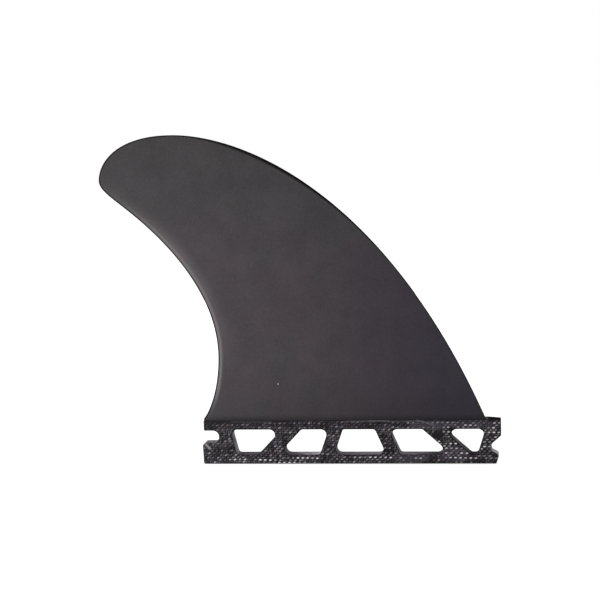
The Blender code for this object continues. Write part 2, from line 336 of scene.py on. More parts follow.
@dataclass(frozen=True)
class WovenLaminate:
    """Milled glass cloth in dark resin: grey yarn crowns, the weft's lighter as painted highlight, and
    white flecks on the weft crowns, partly bare glass where the mill cut through them and partly painted
    glints.

    It reads the attribute "weave", the place in the cloth counted in yarns and the face's number, and the
    shares "milky", "worn", "skin", "rim" and "pale". Crowns and flecks are given by half their length and
    width, in yarns.
    """

    name: str = "woven_laminate"
    resin: Colour = (0.0044, 0.0036, 0.0050)
    warm_yarn: Colour = (0.470, 0.405, 0.440)
    cool_yarn: Colour = (0.425, 0.392, 0.462)
    # White flecks: bare glass where the mill cut through, and painted glints on the weft crowns.
    bare_glass: Colour = (0.92, 0.87, 0.92)
    skin: Colour = (0.0205, 0.0170, 0.0215)
    milky: Colour = (0.104, 0.091, 0.117)
    pale: Colour = (0.30, 0.29, 0.30)
    rim: Colour = (0.003, 0.003, 0.003)
    weft_crown: Point = (0.95, 0.46)
    warp_crown: Point = (0.70, 0.46)
    fleck: Point = (0.74, 0.37)
    crown_fade: Point = (1.0, 0.25)
    crown_lean: float = 0.28
    least_crown: float = 0.35
    # Painted highlight: the warp crowns take only this share of the yarn colour, so the weft crowns read
    # lighter.
    warp_share: float = 0.30
    faint_row: float = 0.25
    faint_weft: float = 0.3
    row_patch_scale: float = 75.0
    row_patch_edge: Point = (0.46, 0.54)
    fleck_luck: Point = (0.05, 0.80)
    fleck_roughness: float = 0.3
    fibre_scale: float = 2600.0
    cloud_scale: float = 260.0
    cloud_share: float = 0.5
    grain_range: Point = (0.35, 0.65)
    grain_tone: Point = (0.10, 1.15)
    roughness: float = 0.42
    specular: float = 0.04
    relief: float = 0.02 * MM
    relief_strength: float = 0.6

    def crown(self, graph: Graph, off: Tuple[Socket, Socket], size: Point) -> Socket:
        """Return a mask, 1 on a yarn's crown, from how far off a place is along and across the yarn."""
        squares = [graph.math("POWER", graph.math("DIVIDE", way, half), 2.0)
                   for way, half in zip(off, size)]
        return graph.fit(graph.math("ADD", *squares), *self.crown_fade)

    def build(self) -> Material:
        """Build the finish.

        Returns:
            Its material.
        """
        material, graph = new_finish(self.name)
        weave = graph.axes(graph.attribute("weave", "Vector"))
        column = graph.math("ROUND", weave["X"])
        row = graph.math("ROUND", weave["Y"])
        off_column = graph.math("SUBTRACT", weave["X"], column)
        off_row = graph.math("SUBTRACT", weave["Y"], row)
        leaning = graph.math("SUBTRACT", off_row, graph.times(off_column, self.crown_lean))
        odd = graph.math("PINGPONG", row, 1.0)
        patch = graph.fit(graph.noise(graph.place(), self.row_patch_scale, 1.0), *self.row_patch_edge)
        differs = graph.math("ABSOLUTE", graph.math("SUBTRACT", odd, patch))
        row_tone = graph.fit(graph.math("SUBTRACT", 1.0, differs), 0.0, 1.0, self.faint_row, 1.0)
        weft_on_top = graph.math("PINGPONG", graph.math("ADD", column, row), 1.0)
        warp_on_top = graph.math("SUBTRACT", 1.0, weft_on_top)
        weft = graph.times(weft_on_top, self.crown(graph, (off_column, leaning), self.weft_crown))
        weft = graph.times(weft, graph.fit(row_tone, 0.0, 1.0, self.faint_weft, 1.0))
        warp = graph.times(warp_on_top, self.crown(graph, (off_row, off_column), self.warp_crown))
        crossing = graph.add("ShaderNodeCombineXYZ", {0: column, 1: row, 2: weave["Z"]}).outputs[0]
        chance = graph.add("ShaderNodeTexWhiteNoise", {"Vector": crossing},
                           noise_dimensions="3D").outputs["Value"]
        grain = SurfaceGrain().place_in(graph, self.cloud_scale, self.fibre_scale, self.cloud_share)
        # Painted highlight: warp crowns are dimmed against the weft crowns.
        crowns = graph.times(graph.math("MAXIMUM", weft, graph.times(warp, self.warp_share)),
                             graph.fit(chance, 0.0, 1.0, self.least_crown, 1.0))
        uneven = graph.fit(grain["Tone"], *self.grain_range, *self.grain_tone)
        yarn = graph.blend(grain["Hue"], self.warm_yarn, self.cool_yarn)
        cloth = graph.blend(graph.times(crowns, uneven), self.resin, yarn)
        cloth = graph.blend(graph.attribute("milky"), cloth, self.milky)
        # White flecks on the weft crowns: bare glass where worn, and painted glints where the light favours
        # the weft.
        fleck = graph.times(self.crown(graph, (off_column, off_row), self.fleck), weft_on_top)
        fleck = graph.times(graph.times(fleck, graph.attribute("worn")), row_tone)
        fleck = graph.math("MULTIPLY", fleck, graph.fit(chance, *self.fleck_luck), clamp=True)
        cloth = graph.blend(fleck, cloth, self.bare_glass)
        for name, colour in (("skin", self.skin), ("rim", self.rim), ("pale", self.pale)):
            cloth = graph.blend(graph.attribute(name), cloth, colour)
        graph.shade({
            "Base Color": cloth,
            "Roughness": graph.math("ADD", self.roughness, graph.times(fleck, self.fleck_roughness)),
            "Specular IOR Level": self.specular,
            "Normal": graph.bump(grain["Height"], self.relief, self.relief_strength),
        })
        return material


@dataclass(frozen=True)
class CutGlass:
    """Router-cut walls, light with the ends of cut glass fibre and with painted reflection, and streaked by
    the stacked plies.

    It reads one attribute: how bare the router left the glass, together with painted light and reflection
    set wall by wall.
    """

    name: str = "cut_glass"
    dark: Colour = (0.030, 0.025, 0.034)
    # A light colour for the cut glass, raised as painted reflection of the white backdrop in place of
    # gloss.
    light: Colour = (0.800, 0.755, 0.825)
    half_depth: float = 3.4 * MM
    inner_bareness: float = 0.75
    face_rim: Point = (0.1 * MM, 0.8 * MM)
    ply: float = 0.34 * MM
    ply_wander: float = 1.4
    wander_scale: float = 300.0
    ply_share: float = 0.7
    grain_share: float = 1.1
    streak_range: Point = (0.3, 1.1)
    cloud_scale: float = 420.0
    speck_scale: float = 3200.0
    cloud_share: float = 0.6
    roughness: float = 0.6
    roughness_swing: float = 0.1
    # No gloss: the walls' reflection is painted into their colour instead.
    specular: float = 0.0
    relief: float = 0.03 * MM
    relief_strength: float = 0.5

    def build(self) -> Material:
        """Build the finish.

        Returns:
            Its material.
        """
        material, graph = new_finish(self.name)
        place = graph.place()
        depth = graph.axes(place)["Y"]
        wander = graph.times(graph.noise(place, self.wander_scale), self.ply_wander)
        plies = graph.math("ADD", graph.math("DIVIDE", depth, self.ply), wander)
        stripe = graph.math("PINGPONG", plies, 0.5)
        grain = SurfaceGrain().place_in(graph, self.cloud_scale, self.speck_scale, self.cloud_share)
        streaks = graph.math("ADD", graph.times(stripe, self.ply_share),
                             graph.times(grain["Tone"], self.grain_share))
        inwards = graph.fit(depth, -self.half_depth, self.half_depth, self.inner_bareness, 1.0)
        from_face = graph.math("SUBTRACT", self.half_depth, graph.math("ABSOLUTE", depth))
        # Painted light and reflection: each wall's lightness is raised or lowered for how much light and
        # reflection it takes.
        bare = graph.times(graph.attribute("bareness"), inwards)
        bare = graph.times(bare, graph.fit(from_face, *self.face_rim))
        share = graph.math("MULTIPLY", bare, graph.fit(streaks, *self.streak_range), clamp=True)
        graph.shade({
            "Base Color": graph.blend(share, self.dark, self.light),
            "Roughness": graph.fit(share, 0.0, 1.0, self.roughness - self.roughness_swing,
                                   self.roughness + self.roughness_swing),
            "Specular IOR Level": self.specular,
            "Normal": graph.bump(streaks, self.relief, self.relief_strength),
        })
        return material


@dataclass(frozen=True)
class PaleFloor:
    """A plain white floor that shows pale to the eye and keeps a faint shadow."""

    name: str = "pale_floor"
    colour: Colour = (0.80, 0.80, 0.80)
    dimmer: float = 0.99
    mottle_scale: float = 12.0
    roughness: float = 0.9
    specular: float = 0.0
    glow: float = 0.74
    glow_colour: Colour = (1.0, 1.0, 1.0)

    def build(self) -> Material:
        """Build the finish.

        Returns:
            Its material.
        """
        material, graph = new_finish(self.name)
        mottle = graph.noise(graph.place(), self.mottle_scale)
        dim = tuple(self.dimmer * part for part in self.colour)
        graph.shade({
            "Base Color": graph.blend(mottle, dim, self.colour),
            "Roughness": self.roughness,
            "Specular IOR Level": self.specular,
            "Emission Color": self.glow_colour,
            "Emission Strength": graph.times(graph.seen_directly(), self.glow),
        })
        return material


def deselect_all() -> None:
    """Deselect every object, so that the next operator acts on one piece alone."""
    bpy.ops.object.select_all(action="DESELECT")


def make_active(piece: Piece) -> None:
    """Select one piece alone and make it the active one.

    Args:
        piece: the piece.
    """
    deselect_all()
    piece.select_set(True)
    bpy.context.view_layer.objects.active = piece


def edit_all() -> None:
    """Open the active piece in edit mode, with all of it selected."""
    bpy.ops.object.mode_set(mode="EDIT")
    bpy.ops.mesh.select_all(action="SELECT")


def close_edit() -> None:
    """Turn the whole edited mesh's faces outwards, and leave edit mode."""
    bpy.ops.mesh.select_all(action="SELECT")
    bpy.ops.mesh.normals_make_consistent(inside=False)
    bpy.ops.object.mode_set(mode="OBJECT")


def coordinates(piece: Piece) -> Array:
    """Return a piece's vertices as rows of x, y and z."""
    return np.array([vertex.co for vertex in piece.data.vertices])


def move_vertices(piece: Piece, places: Array) -> None:
    """Put a piece's vertices at new places."""
    piece.data.vertices.foreach_set("co", places.ravel())
    piece.data.update()


def write_attributes(piece: Piece, **attributes: Array) -> None:
    """Store values for each vertex of a piece, which its material reads.

    Args:
        piece: the piece.
        attributes: by name, a number a vertex, or a row of three.
    """
    for name, values in attributes.items():
        is_vector = values.ndim == 2
        layer = piece.data.attributes.new(name, "FLOAT_VECTOR" if is_vector else "FLOAT", "POINT")
        layer.data.foreach_set("vector" if is_vector else "value", values.ravel())


def smooth_step(low: float, high: float, value: Array) -> Array:
    """Return 0 below low, 1 above high and a smooth rise between."""
    share = np.clip((value - low) / (high - low), 0.0, 1.0)
    return share * share * (3.0 - 2.0 * share)


def distances(points: Array, places: Array) -> Array:
    """Find how far each place is from the nearest of some points, in one plane.

    Args:
        points: the points, one a row.
        places: the places, one a row.

    Returns:
        One distance for each place.
    """
    tree = KDTree(len(points))
    for number, (across, up) in enumerate(points):
        tree.insert((across, up, 0.0), number)
    tree.balance()
    return np.array([tree.find((across, up, 0.0))[2] for across, up in places])


def keep_inside(piece: Piece, tool: Piece) -> None:
    """Keep what a closed piece shares with a closed tool, then remove the tool.

    Args:
        piece: the shape that is kept.
        tool: the shape that cuts it.
    """
    make_active(piece)
    modifier = piece.modifiers.new("cut", "BOOLEAN")
    modifier.operation = "INTERSECT"
    modifier.object = tool
    modifier.solver = "MANIFOLD"
    bpy.ops.object.modifier_apply(modifier=modifier.name)
    bpy.data.objects.remove(tool)


def finish_piece(piece: Piece, node: str) -> None:
    """Put a finished piece on its body in place of its CAD node.

    Args:
        piece: the piece.
        node: the CAD node that it stands for.
    """
    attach(piece, "root")
    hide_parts(node)
    LOG.info("%s: %d vertices, %d faces", piece.name, len(piece.data.vertices), len(piece.data.polygons))


def cubic(*controls: Point) -> Array:
    """Return points along the cubic curve of a start, its handle, the end's handle and the end."""
    t = np.linspace(0.0, 1.0, CURVE_POINTS)[:, None]
    return sum(weight * (1 - t) ** (3 - number) * t ** number * np.array(point)
               for number, (weight, point) in enumerate(zip((1, 3, 3, 1), controls)))


@dataclass
class Blade:
    """The raked, foiled blade: flat inside, full outside, canted outwards."""

    name: str = "blade"
    tab_height: float = 17.0 * MM
    tab_length: float = 114.3 * MM
    tab_thickness: float = 6.8 * MM
    ledge_length: float = 5.8 * MM
    span: float = 110.8 * MM
    cant: float = math.radians(6.5)
    lead_lean: float = math.radians(23.3)
    lead_handle: float = 97.5 * MM
    crest_aft: float = 12.5 * MM
    crest_handle_fore: float = 26.1 * MM
    crest_handle_aft: float = 20.5 * MM
    tip_overhang: float = 40.3 * MM
    tip_height: float = 93.7 * MM
    tip_handle_up: float = 7.3 * MM
    tip_handle_down: float = 3.7 * MM
    hook_overhang: float = 27.9 * MM
    hook_height: float = 80.9 * MM
    hook_lean: float = math.radians(50.8)
    hook_handle_up: float = 10.1 * MM
    hook_handle_down: float = 19.7 * MM
    waist_inset: float = 6.3 * MM
    waist_height: float = 24.1 * MM
    waist_handle_up: float = 24.1 * MM
    waist_handle_down: float = 7.8 * MM
    trail_setback: float = 0.1 * MM
    trail_foot: float = 0.7 * MM
    trail_lean: float = math.radians(40.8)
    trail_handle: float = 7.0 * MM
    root_shoulder: float = 0.3 * MM
    root_cove: float = 1.6 * MM
    root_flare: float = 0.75
    lead_cove: float = 1.2 * MM
    root_depth: float = 2.0 * MM
    tip_thickness: float = 3.0 * MM
    tip_rounding: float = 12.0 * MM
    nose_lift: float = 0.8 * MM
    nose_length: float = 1.2 * MM
    foil_scale: float = 10.0
    foil_root: float = 0.2969
    foil_terms: Tuple[float, ...] = (-0.1260, -0.3516, 0.2843, -0.1036)
    trail_edge: float = 0.5 * MM
    trail_edge_at_crest: float = 0.15 * MM
    trail_lift: float = 0.5 * MM
    trail_bevel: float = 8.0 * MM
    crest_flat: float = 0.025 * MM
    chord_steps: int = 80
    span_steps: int = 110
    cove_stations: int = 9
    cove_start: float = 0.05
    sharp_angle: float = math.radians(40.0)
    lead_bead: float = 0.24 * MM
    trail_bead: float = 0.30 * MM
    # The dark line of painted shade along the rounded edges: its widths, and where it swells on the leading
    # edge.
    line_width: float = 0.12 * MM
    lead_line_swell: float = 1.32 * MM
    lead_line_at: float = -30.0 * MM
    lead_line_run: float = 33.0 * MM
    trail_line_width: float = 0.62 * MM
    # The painted highlight along the trailing edge: a narrow strip at the edge and a wider fade on the
    # upper blade.
    strip_edge: Point = (2.0 * MM, 1.15 * MM)
    strip_share: float = 0.95
    strip_loss: float = 0.5
    sanded_fade: float = 6.0 * MM
    sanded_share: float = 0.42
    sanded_foot: float = 14.0 * MM
    sanded_widening: Point = (15.0 * MM, 60.0 * MM)
    sanded_end: float = 66.0 * MM

    def leading_edge(self) -> Array:
        """Draw the leading edge from the tab to the crest.

        Returns:
            Its points, as rows of x and span.
        """
        base_x = self.tab_length / 2 - self.ledge_length
        crest_x = -self.tab_length / 2 - self.crest_aft
        handle = (base_x - self.lead_handle * math.sin(self.lead_lean),
                  self.lead_handle * math.cos(self.lead_lean))
        crest_handle = (crest_x + self.crest_handle_fore, self.span)
        return cubic((base_x, 0.0), handle, crest_handle, (crest_x, self.span)) + (self.lead_bead, 0.0)

    def trailing_edge(self) -> Array:
        """Draw the trailing edge from the tab round the tip to the crest.

        Returns:
            Its points, as rows of x and span.
        """
        aft = -self.tab_length / 2
        crest = (aft - self.crest_aft, self.span)
        base = (aft + self.trail_setback, self.trail_foot)
        base_handle = (base[0] + self.trail_handle * math.sin(self.trail_lean),
                       base[1] + self.trail_handle * math.cos(self.trail_lean))
        waist = (aft + self.waist_inset, self.waist_height)
        hook = (aft - self.hook_overhang, self.hook_height)
        tip = (aft - self.tip_overhang, self.tip_height)
        run = math.sin(self.hook_lean)
        rise = math.cos(self.hook_lean)
        hook_below = (hook[0] + self.hook_handle_down * run, hook[1] - self.hook_handle_down * rise)
        hook_above = (hook[0] - self.hook_handle_up * run, hook[1] + self.hook_handle_up * rise)
        edge = np.concatenate((
            cubic(base, base_handle, (waist[0], waist[1] - self.waist_handle_down), waist),
            cubic(waist, (waist[0], waist[1] + self.waist_handle_up), hook_below, hook),
            cubic(hook, hook_above, (tip[0], tip[1] - self.tip_handle_down), tip),
            cubic(tip, (tip[0], tip[1] + self.tip_handle_up),
                  (crest[0] - self.crest_handle_aft, crest[1]), crest),
        ))
        edge[:, 0] -= self.trail_bead * smooth_step(self.trail_foot, self.trail_handle, edge[:, 1])
        return edge

    def cove(self, spans: Array, rise: float, reach: float) -> Array:
        """Return how far a root cove, rise high and reach wide, stands out at each span."""
        below = np.clip(1.0 - spans / rise, 0.0, 1.0)
        return reach * (1.0 - np.sqrt(1.0 - below ** 2))

    def sections(self, spans: Array) -> Array:
        """Draw the blade's level sections.

        Args:
            spans: each section's height along the canted blade.

        Returns:
            Points by section, place round the section, and axis.
        """
        root_thickness = self.tab_thickness - 2 * self.root_shoulder
        lead, trail = self.leading_edge(), self.trailing_edge()
        spans = spans[:, None]
        lead_x = np.interp(spans, lead[:, 1], lead[:, 0])
        lead_x = lead_x + self.cove(spans, self.lead_cove, self.lead_cove)
        trail_x = np.interp(spans, trail[:, 1], trail[:, 0])
        chord = lead_x - trail_x
        above = np.clip((spans - (self.span - self.tip_rounding)) / self.tip_rounding, 0.0, 1.0)
        closing = np.sqrt(1.0 - above ** 2)
        taper = 1.0 - spans / self.span
        thickness = (self.tip_thickness + (root_thickness - self.tip_thickness) * taper) * closing
        scale = thickness / root_thickness
        lift = self.nose_lift * scale
        tail_lift = self.trail_lift * scale
        tail_edge = self.trail_edge_at_crest + (self.trail_edge - self.trail_edge_at_crest) * closing
        flare = self.cove(spans, self.root_cove, self.root_flare * self.root_shoulder)
        plane = -self.tab_thickness / 2 + self.root_shoulder + spans * math.sin(self.cant)
        plane = plane + self.trail_lift * (1.0 - closing)
        steps = np.arange(self.chord_steps + 1)[None, :] / self.chord_steps
        share = 0.5 * (1.0 - np.cos(math.pi * steps))
        x = lead_x - chord * share
        from_nose = np.clip(chord * share / self.nose_length, 0.0, 1.0)
        from_tail = np.clip(chord * (1.0 - share) / self.trail_bevel, 0.0, 1.0)
        rise = lift * (1.0 - np.sqrt(1.0 - (1.0 - from_nose) ** 2)) + tail_lift * (1.0 - from_tail) ** 2
        foil = self.foil_root * np.sqrt(share)
        for power, term in enumerate(self.foil_terms, start=1):
            foil = foil + term * share ** power
        base_line = lift + (tail_lift + tail_edge - lift) * share
        crown = base_line + (thickness - base_line) * (self.foil_scale * foil)
        height = self.tab_height + spans * math.cos(self.cant) + 0.0 * x
        inner = np.stack((x, plane + rise - flare, height), axis=-1)
        outer = np.stack((x, plane + np.maximum(crown, rise) + flare, height), axis=-1)
        return np.concatenate((outer, inner[:, :0:-1]), axis=1)

    def stations(self) -> Array:
        """Place the sections, close together in the cove and towards the crest.

        Returns:
            Their heights along the blade.
        """
        start = self.cove_start * self.lead_cove
        in_cove = start + (self.root_cove - start) * np.linspace(0.0, 1.0, self.cove_stations)
        share = np.sin(math.pi / 2 * np.arange(1, self.span_steps) / self.span_steps)
        above = self.root_cove + (self.span - self.root_cove) * share
        return np.concatenate((in_cove, above, [self.span - self.crest_flat]))

    def build(self, coat: Material) -> Piece:
        """Extrude a ring of vertices section by section up the blade.

        Args:
            coat: the blade's finish.

        Returns:
            The finished piece.
        """
        rings = self.sections(self.stations())
        foot = rings[:1] * (1.0, 1.0, 0.0) + (0.0, 0.0, self.tab_height - self.root_depth)
        rings = np.concatenate((foot, rings))
        deselect_all()
        bpy.ops.mesh.primitive_circle_add(vertices=rings.shape[1], radius=self.tab_length / 2,
                                          fill_type="NGON")
        piece = bpy.context.active_object
        piece.name = self.name
        bpy.ops.object.mode_set(mode="EDIT")
        mesh = bmesh.from_edit_mesh(piece.data)
        order = mesh.verts.layers.int.new("order")
        mesh.verts.ensure_lookup_table()
        for number, vertex in enumerate(mesh.verts):
            vertex[order] = number
            vertex.co = rings[0][number]
        bmesh.update_edit_mesh(piece.data)
        for ring in rings[1:]:
            bpy.ops.mesh.extrude_region_move(TRANSFORM_OT_translate={"value": (0.0, 0.0, MM)})
            mesh = bmesh.from_edit_mesh(piece.data)
            order = mesh.verts.layers.int["order"]
            for vertex in mesh.verts:
                if vertex.select:
                    vertex.co = ring[vertex[order]]
            bmesh.update_edit_mesh(piece.data)
        close_edit()
        piece.data.attributes.remove(piece.data.attributes["order"])
        bpy.ops.object.shade_smooth_by_angle(angle=self.sharp_angle)
        piece.data.materials.append(coat)
        self.mark_edges(piece)
        return piece

    def mark_edges(self, piece: Piece) -> None:
        """Store where the dark line of painted shade runs round the blade, and where the painted highlight
        lies along the trailing edge.

        Args:
            piece: the blade.
        """
        x, _, z = coordinates(piece).T
        above = z - self.tab_height
        places = np.stack((x, above / math.cos(self.cant)), axis=1)
        from_lead = distances(self.leading_edge(), places)
        from_trail = distances(self.trailing_edge(), places)
        swell = np.exp(-((x - self.lead_line_at) / self.lead_line_run) ** 2)
        lead_line = self.line_width + self.lead_line_swell * swell
        # The painted highlight along the trailing edge: a narrow strip at the edge and a wider fade on the
        # upper blade.
        upper = smooth_step(*self.sanded_widening, above)
        shown = smooth_step(0.0, self.sanded_foot, above)
        shown = shown * smooth_step(self.tip_height, self.sanded_end, above)
        strip_share = self.strip_share - self.strip_loss * upper
        strip = strip_share * smooth_step(*self.strip_edge, from_trail)
        wide = self.sanded_share * upper * smooth_step(self.sanded_fade, 0.0, from_trail)
        # The dark line is painted shade of the rounded edges. It is thin on the trailing edge and swells on
        # the upper leading edge, where the nose faces away from the lamp.
        seam = np.minimum(from_lead / lead_line, from_trail / self.trail_line_width)
        write_attributes(piece, seam=seam, sanded=shown * (strip + wide))


class Mark:
    """Something on the tab, told by a row of millimetres that ends in a plain share."""

    @classmethod
    def rows(cls, *rows: Sequence[float]) -> Tuple["Mark", ...]:
        """Return one mark for each row."""
        return tuple(cls(*(number * MM for number in row[:-1]), row[-1]) for row in rows)


@dataclass(frozen=True)
class Patch(Mark):
    """A soft-edged oval area of the tab: its middle, half its sizes and its strength."""

    x: float
    z: float
    half_x: float
    half_z: float
    strength: float

    def share(self, x: Array, z: Array) -> Array:
        """Return how much each place belongs to the patch."""
        away = np.sqrt(((x - self.x) / self.half_x) ** 2 + ((z - self.z) / self.half_z) ** 2)
        return self.strength * (1.0 - smooth_step(*PATCH_EDGE, away))


@dataclass(frozen=True)
class Scratch(Mark):
    """A straight scratch or nick in the tab's seen face."""

    start_x: float
    start_z: float
    end_x: float
    end_z: float
    half_width: float
    depth: float
    paleness: float

    def share(self, x: Array, z: Array) -> Array:
        """Find how much each place belongs to the scratch.

        Args:
            x: places along the tab.
            z: places up the tab.

        Returns:
            A share for each place.
        """
        run_x = self.end_x - self.start_x
        run_z = self.end_z - self.start_z
        along = ((x - self.start_x) * run_x + (z - self.start_z) * run_z) / (run_x ** 2 + run_z ** 2)
        along = np.clip(along, 0.0, 1.0)
        away = np.hypot(x - self.start_x - along * run_x, z - self.start_z - along * run_z)
        return 1.0 - smooth_step(*SCRATCH_EDGE, away / self.half_width)


def covered(patches: Sequence[Patch], x: Array, z: Array) -> Array:
    """Return the shares that some patches have in each place, added up."""
    return sum(patch.share(x, z) for patch in patches)


@dataclass
class Tab:
    """The box tab: a windowed plate of glass cloth, milled flat on both faces.

    The waves of the rows are given by swing, rate and start, those of the skin's edge by swing, length
    and start, and the columns' one by swing and its rates over warp and weft. The first scratch is the
    nick by the notch.
    """

    name: str = "tab"
    node: str = "fin"
    height: float = 17.0 * MM
    length: float = 115.0 * MM
    thickness: float = 6.8 * MM
    slab_margin: float = 2.0 * MM
    grid_step: float = 0.19 * MM
    tolerance: float = 0.001 * MM
    cutter_gap: float = 0.01 * MM
    cutter_snap: float = 0.0001 * MM
    cutter_widening: float = 1.5
    warp_pitch: float = 0.965 * MM
    weft_pitch: float = 0.905 * MM
    yarn_swing: float = 0.035 * MM
    yarn_crown: float = 0.030 * MM
    outer_warp_shift: float = 0.37
    outer_weft_shift: float = 0.21
    row_lean: float = math.radians(-0.8)
    row_slip: float = 0.7
    row_waves: Tuple[Triple, ...] = ((0.20, 0.071, 0.6), (0.12, 0.23, 2.1))
    column_wave: Triple = (0.22, 0.11, 0.9)
    slip_seed: Point = (12.9898, 43.7585)
    skin_depth: float = 0.35 * MM
    skin_blur: float = 0.12 * MM
    skin_band_depth: float = 0.75 * MM
    skin_band: Point = (-24.0 * MM, -30.0 * MM)
    skin_waves: Tuple[Triple, ...] = ((0.12 * MM, 3.1 * MM, 0.0), (0.08 * MM, 1.3 * MM, 1.0))
    rim_round: float = 0.22 * MM
    rim_drop: float = 0.10 * MM
    rim_line: float = 0.42 * MM
    rim_head_line: float = 0.42 * MM
    rim_core: float = 0.15
    rim_share: float = 0.75
    window_head: float = 13.2 * MM
    film_share: float = 0.4
    film_rise: Point = (12.6 * MM, 13.6 * MM)
    film_run: Point = (25.0 * MM, 5.0 * MM)
    resin_level: float = 0.35
    resin_share: float = 0.9
    most_milky: float = 0.6
    # Painted reflection: the walls' base lightness, raised to stand in for their gloss.
    bare_wall: float = 0.52
    outer_wear: float = 0.8
    no_seam: float = 2.0
    wall_turn: float = 0.5
    top_turn: float = 0.7
    sharp_angle: float = math.radians(35.0)
    # Where the white flecks show: bare glass where the mill wore through, and painted glints.
    worn: Tuple[Patch, ...] = Patch.rows(
        (-44.0, 1.9, 6.2, 1.0, 0.75), (-28.0, 1.5, 9.5, 1.5, 1.0),
        (-17.0, 2.2, 5.5, 0.9, 0.85), (-4.0, 2.4, 6.5, 0.9, 0.4),
        (11.0, 2.3, 7.5, 1.1, 0.75), (44.0, 14.8, 7.0, 0.8, 1.0),
        (53.0, 15.9, 5.0, 0.9, 0.6), (53.0, 9.5, 4.4, 6.2, 1.0),
        (37.8, 8.4, 5.0, 2.2, 1.0), (46.0, 3.2, 9.5, 2.0, 0.85),
        (36.8, 13.0, 1.6, 2.8, 0.6), (22.0, 2.6, 8.5, 1.9, 0.45),
        (38.0, 4.8, 4.0, 2.6, 0.55),
    )
    resin_rich: Tuple[Patch, ...] = Patch.rows(
        (33.3, 11.3, 2.7, 1.6, 1.0), (31.4, 2.0, 1.9, 1.7, 0.8),
    )
    milky: Tuple[Patch, ...] = Patch.rows(
        (23.0, 2.6, 8.5, 2.2, 0.40), (39.0, 3.6, 6.5, 3.2, 0.40),
        (31.0, 14.9, 9.0, 1.8, 0.45), (47.0, 15.2, 8.5, 1.6, 0.30),
    )
    # Patches of wall lightness: partly bare glass and partly painted light, lifting walls that get little
    # lamp light.
    bare_walls: Tuple[Patch, ...] = Patch.rows(
        (-54.5, 8.1, 4.5, 1.2, 0.30), (-38.5, 3.6, 6.0, 1.0, -0.22),
        (-14.0, 3.6, 3.5, 1.0, 0.85), (5.5, 3.6, 6.0, 1.0, 0.30),
        (21.0, 3.6, 4.5, 1.0, 0.15), (34.0, 3.6, 7.0, 1.0, -0.32),
        (48.5, 3.6, 4.0, 1.4, -0.39), (-44.5, 9.5, 3.0, 6.0, 0.50),
        (-4.5, 9.5, 3.0, 6.0, 0.30), (16.5, 9.5, 4.0, 6.0, 0.40),
        (56.0, 4.4, 3.0, 2.0, 1.8),
    )
    scratches: Tuple[Scratch, ...] = Scratch.rows(
        (-56.7, 7.75, -54.95, 5.95, 0.42, 0.24, 1.0), (25.4, 16.9, 31.45, 14.87, 0.16, 0.05, 0.45),
        (-2.0, 16.55, 8.0, 16.55, 0.13, 0.04, 0.3), (7.07, 16.65, 14.7, 16.5, 0.20, 0.04, 0.45),
        (14.7, 16.35, 28.0, 16.45, 0.24, 0.04, 0.22), (53.3, 7.2, 53.4, 5.3, 0.30, 0.05, 0.65),
        (53.5, 5.2, 56.0, 3.75, 0.36, 0.05, 0.5), (-56.3, 8.25, -52.4, 8.35, 0.22, 0.04, 0.3),
        (-46.3, 16.35, -30.6, 16.35, 0.42, 0.0, 0.08),
    )

    def cut_shape(self) -> Piece:
        """Take the tab's own outline and windows from the CAD solid.

        Returns:
            A closed cutter, wider than the tab.
        """
        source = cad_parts[self.node]
        shape = source.copy()
        shape.data = source.data.copy()
        shape.name = "tab_cutter"
        shape.parent = None
        shape.matrix_world = Matrix.Identity(4)
        bpy.context.scene.collection.objects.link(shape)
        make_active(shape)
        edit_all()
        bpy.ops.mesh.remove_doubles(threshold=self.tolerance)
        bpy.ops.mesh.select_all(action="SELECT")
        bpy.ops.mesh.bisect(plane_co=(0.0, 0.0, self.height - self.cutter_gap), plane_no=(0.0, 0.0, 1.0),
                            use_fill=True, clear_outer=True, threshold=self.cutter_snap)
        bpy.ops.mesh.select_all(action="SELECT")
        bpy.ops.transform.resize(value=(1.0, self.cutter_widening, 1.0))
        close_edit()
        return shape

    def slab(self) -> Piece:
        """Make a closed slab as thick as the tab, finely gridded on both faces.

        Returns:
            The slab.
        """
        length = self.length + self.slab_margin
        height = self.height + self.slab_margin
        deselect_all()
        bpy.ops.mesh.primitive_grid_add(
            x_subdivisions=round(length / self.grid_step), y_subdivisions=round(height / self.grid_step),
            size=1.0, rotation=(math.pi / 2, 0.0, 0.0),
            location=(0.0, self.thickness / 2, self.height / 2))
        piece = bpy.context.active_object
        piece.name = self.name
        piece.scale = (length, height, 1.0)
        bpy.ops.object.transform_apply()
        edit_all()
        bpy.ops.mesh.extrude_region_move(TRANSFORM_OT_translate={"value": (0.0, -self.thickness, 0.0)})
        close_edit()
        return piece

    def weave_place(self, x: Array, z: Array, outer: Array) -> Tuple[Array, Array]:
        """Find where each place lies in the cloth, counted in yarns.

        Args:
            x: places along the tab.
            z: places up the tab.
            outer: 1 on the outer face, whose cloth lies a little differently, else 0.

        Returns:
            The warp count along the tab and the weft count up it.
        """
        warp = x / self.warp_pitch + self.outer_warp_shift * outer
        weft = (z - x * math.tan(self.row_lean)) / self.weft_pitch + self.outer_weft_shift * outer
        for swing, rate, start in self.row_waves:
            weft = weft + swing * np.sin(warp * rate + start)
        slip = np.sin(np.round(weft) * self.slip_seed[0]) * self.slip_seed[1]
        swing, warp_rate, weft_rate = self.column_wave
        warp = warp + swing * np.sin(warp * warp_rate + weft * weft_rate)
        return warp + self.row_slip * (slip - np.floor(slip)), weft

